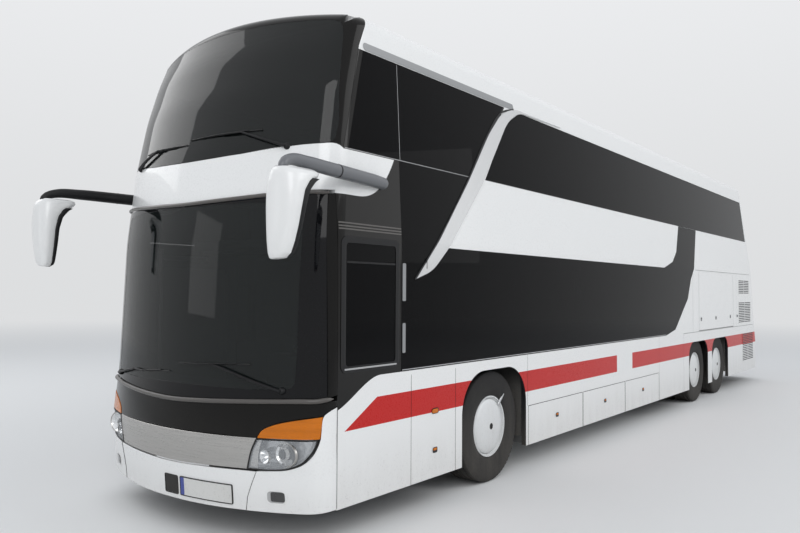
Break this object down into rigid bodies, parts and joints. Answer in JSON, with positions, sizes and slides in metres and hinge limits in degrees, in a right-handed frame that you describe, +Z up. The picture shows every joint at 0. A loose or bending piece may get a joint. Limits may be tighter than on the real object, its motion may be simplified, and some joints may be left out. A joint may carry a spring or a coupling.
{
  "type": "double-deck touring coach",
  "caption": "Double-deck three-axle touring coach with swept side trim, two saloons, swing-out doors, lift-up flaps, rolling wheels and steered front axle.",
  "frame": {"origin": "on the ground, below the middle of the coach's overall box", "axes": "+Z up, nose towards -Y, driver's side +X"},
  "size_m": [3.214, 14.1898, 3.9998],
  "materials": {
    "white_paint": "gloss white coach paint",
    "dark_glass": "dark tinted glass",
    "clear_glass": "lightly tinted screen glass",
    "trim_silver": "satin silver-white trim",
    "panel_dark": "dark service panel with a brushed band",
    "lamp_clear": "clear lamp lens",
    "lamp_amber": "amber lens",
    "lamp_red": "red lens",
    "tyre": "tyre rubber",
    "rim_white": "white rim and domed cover",
    "chassis_black": "black chassis paint",
    "axle_iron": "cast axle parts",
    "floor_grey": "floor covering over board",
    "house_black": "sealed wheelhouse",
    "engine_grey": "engine mass",
    "dash_grey": "dashboard moulding",
    "wheel_black": "steering wheel",
    "seat_cloth": "seat cloth",
    "mirror_white": "white mirror housing",
    "wiper_black": "wiper arms",
    "aluminium": "bare aluminium"
  },
  "bodies": {
    "coach_body": {"axles": "axle_iron", "chassis": "chassis_black", "dashboard": "dash_grey", "engine_block": "engine_grey", "front_bumper": "white_paint", "front_mask": "white_paint", "front_panel": "panel_dark", "front_trims": "chassis_black", "headlamps": "lamp_clear", "indicator_lamps": "lamp_amber", "left_wall": "white_paint", "locker_boxes": "aluminium", "lower_floor": "floor_grey", "luggage_bay": "floor_grey", "mirrors": "mirror_white", "rear_bumper": "white_paint", "rear_grilles": "chassis_black", "rear_wall": "white_paint", "rear_window": "dark_glass", "right_wall": "white_paint", "roof": "white_paint", "seats": "seat_cloth", "side_glass": "dark_glass", "stairs": "floor_grey", "swoosh_trims": "trim_silver", "tail_lamps": "lamp_red", "upper_floor": "floor_grey", "wheelhouses": "house_black", "windscreens": "clear_glass", "wipers": "wiper_black"},
    "left_knuckle": {"left_knuckle": "axle_iron"},
    "left_front_wheel": {"left_front_tyre": "tyre", "left_front_rim": "rim_white"},
    "left_drive_wheel": {"left_drive_tyre": "tyre", "left_drive_rim": "rim_white"},
    "left_tag_wheel": {"left_tag_tyre": "tyre", "left_tag_rim": "rim_white"},
    "left_locker_flap_1": {"left_locker_flap_1": "white_paint"},
    "left_locker_flap_2": {"left_locker_flap_2": "white_paint"},
    "left_locker_flap_3": {"left_locker_flap_3": "white_paint"},
    "left_luggage_flap": {"left_luggage_flap": "white_paint"},
    "right_knuckle": {"right_knuckle": "axle_iron"},
    "right_front_wheel": {"right_front_tyre": "tyre", "right_front_rim": "rim_white"},
    "right_drive_wheel": {"right_drive_tyre": "tyre", "right_drive_rim": "rim_white"},
    "right_tag_wheel": {"right_tag_tyre": "tyre", "right_tag_rim": "rim_white"},
    "right_locker_flap_1": {"right_locker_flap_1": "white_paint"},
    "right_locker_flap_2": {"right_locker_flap_2": "white_paint"},
    "right_locker_flap_3": {"right_locker_flap_3": "white_paint"},
    "right_luggage_flap": {"right_luggage_flap": "white_paint"},
    "front_door_leaf": {"front_door": "white_paint", "front_door_glass": "dark_glass"},
    "front_door_arm": {"front_door_arm": "aluminium"},
    "middle_door_leaf": {"middle_door": "white_paint", "middle_door_glass": "dark_glass"},
    "middle_door_arm": {"middle_door_arm": "aluminium"},
    "engine_lid": {"engine_lid": "white_paint"},
    "steering_wheel": {"steering_wheel": "wheel_black"}
  },
  "joints": [
    {"name": "left_steering", "type": "hinge", "parent": "coach_body", "child": "left_knuckle", "pos_m": [0.977, -4.055, 0.522], "axis": [0, 0, 1], "range_deg": [-42, 42]},
    {"name": "left_front_wheel_roll", "type": "hinge", "parent": "left_knuckle", "child": "left_front_wheel", "pos_m": [1.077, -4.055, 0.522], "axis": [1, 0, 0], "continuous": true},
    {"name": "left_drive_wheel_roll", "type": "hinge", "parent": "coach_body", "child": "left_drive_wheel", "pos_m": [1.077, 2.645, 0.522], "axis": [1, 0, 0], "continuous": true},
    {"name": "left_tag_wheel_roll", "type": "hinge", "parent": "coach_body", "child": "left_tag_wheel", "pos_m": [1.077, 3.995, 0.522], "axis": [1, 0, 0], "continuous": true},
    {"name": "left_locker_flap_1_hinge", "type": "hinge", "parent": "coach_body", "child": "left_locker_flap_1", "pos_m": [1.276, -2.735, 0.6393], "axis": [0, -1, 0], "range_deg": [0, 100]},
    {"name": "left_locker_flap_2_hinge", "type": "hinge", "parent": "coach_body", "child": "left_locker_flap_2", "pos_m": [1.276, -1.385, 0.6393], "axis": [0, -1, 0], "range_deg": [0, 100]},
    {"name": "left_locker_flap_3_hinge", "type": "hinge", "parent": "coach_body", "child": "left_locker_flap_3", "pos_m": [1.276, -0.04, 0.6393], "axis": [0, -1, 0], "range_deg": [0, 100]},
    {"name": "left_luggage_flap_hinge", "type": "hinge", "parent": "coach_body", "child": "left_luggage_flap", "pos_m": [1.276, 3.82, 2.1593], "axis": [0, -1, 0], "range_deg": [0, 95]},
    {"name": "right_steering", "type": "hinge", "parent": "coach_body", "child": "right_knuckle", "pos_m": [-0.977, -4.055, 0.522], "axis": [0, 0, 1], "range_deg": [-42, 42]},
    {"name": "right_front_wheel_roll", "type": "hinge", "parent": "right_knuckle", "child": "right_front_wheel", "pos_m": [-1.077, -4.055, 0.522], "axis": [1, 0, 0], "continuous": true},
    {"name": "right_drive_wheel_roll", "type": "hinge", "parent": "coach_body", "child": "right_drive_wheel", "pos_m": [-1.077, 2.645, 0.522], "axis": [1, 0, 0], "continuous": true},
    {"name": "right_tag_wheel_roll", "type": "hinge", "parent": "coach_body", "child": "right_tag_wheel", "pos_m": [-1.077, 3.995, 0.522], "axis": [1, 0, 0], "continuous": true},
    {"name": "right_locker_flap_1_hinge", "type": "hinge", "parent": "coach_body", "child": "right_locker_flap_1", "pos_m": [-1.276, -2.735, 0.6393], "axis": [0, 1, 0], "range_deg": [0, 100]},
    {"name": "right_locker_flap_2_hinge", "type": "hinge", "parent": "coach_body", "child": "right_locker_flap_2", "pos_m": [-1.276, -1.385, 0.6393], "axis": [0, 1, 0], "range_deg": [0, 100]},
    {"name": "right_locker_flap_3_hinge", "type": "hinge", "parent": "coach_body", "child": "right_locker_flap_3", "pos_m": [-1.276, -0.04, 0.6393], "axis": [0, 1, 0], "range_deg": [0, 100]},
    {"name": "right_luggage_flap_hinge", "type": "hinge", "parent": "coach_body", "child": "right_luggage_flap", "pos_m": [-1.276, 3.82, 2.1593], "axis": [0, 1, 0], "range_deg": [0, 95]},
    {"name": "front_door_swing", "type": "hinge", "parent": "coach_body", "child": "front_door_arm", "pos_m": [-1.15, -6.07, 1.2], "axis": [0, 0, 1], "range_deg": [0, 100]},
    {"name": "front_door_level", "type": "hinge", "parent": "front_door_arm", "child": "front_door_leaf", "pos_m": [-1.15, -5.57, 1.2], "axis": [0, 0, 1], "range_deg": [-100, 0]},
    {"name": "middle_door_swing", "type": "hinge", "parent": "coach_body", "child": "middle_door_arm", "pos_m": [-1.15, 0.84, 1.2], "axis": [0, 0, 1], "range_deg": [0, 100]},
    {"name": "middle_door_level", "type": "hinge", "parent": "middle_door_arm", "child": "middle_door_leaf", "pos_m": [-1.15, 1.34, 1.2], "axis": [0, 0, 1], "range_deg": [-100, 0]},
    {"name": "engine_lid_hinge", "type": "hinge", "parent": "coach_body", "child": "engine_lid", "pos_m": [0, 6.7883, 1.8993], "axis": [1, 0, 0], "range_deg": [0, 80]},
    {"name": "steering_wheel_turn", "type": "hinge", "parent": "coach_body", "child": "steering_wheel", "pos_m": [0.72, -5.865, 1.27], "axis": [0, 0.4226, 0.9063], "range_deg": [-630, 630]}
  ],
  "couplings": [
    {"joint": "right_steering", "follows": "left_steering", "ratio": 1},
    {"joint": "steering_wheel_turn", "follows": "left_steering", "ratio": 15},
    {"joint": "front_door_level", "follows": "front_door_swing", "ratio": -1},
    {"joint": "middle_door_level", "follows": "middle_door_swing", "ratio": -1}
  ]
}
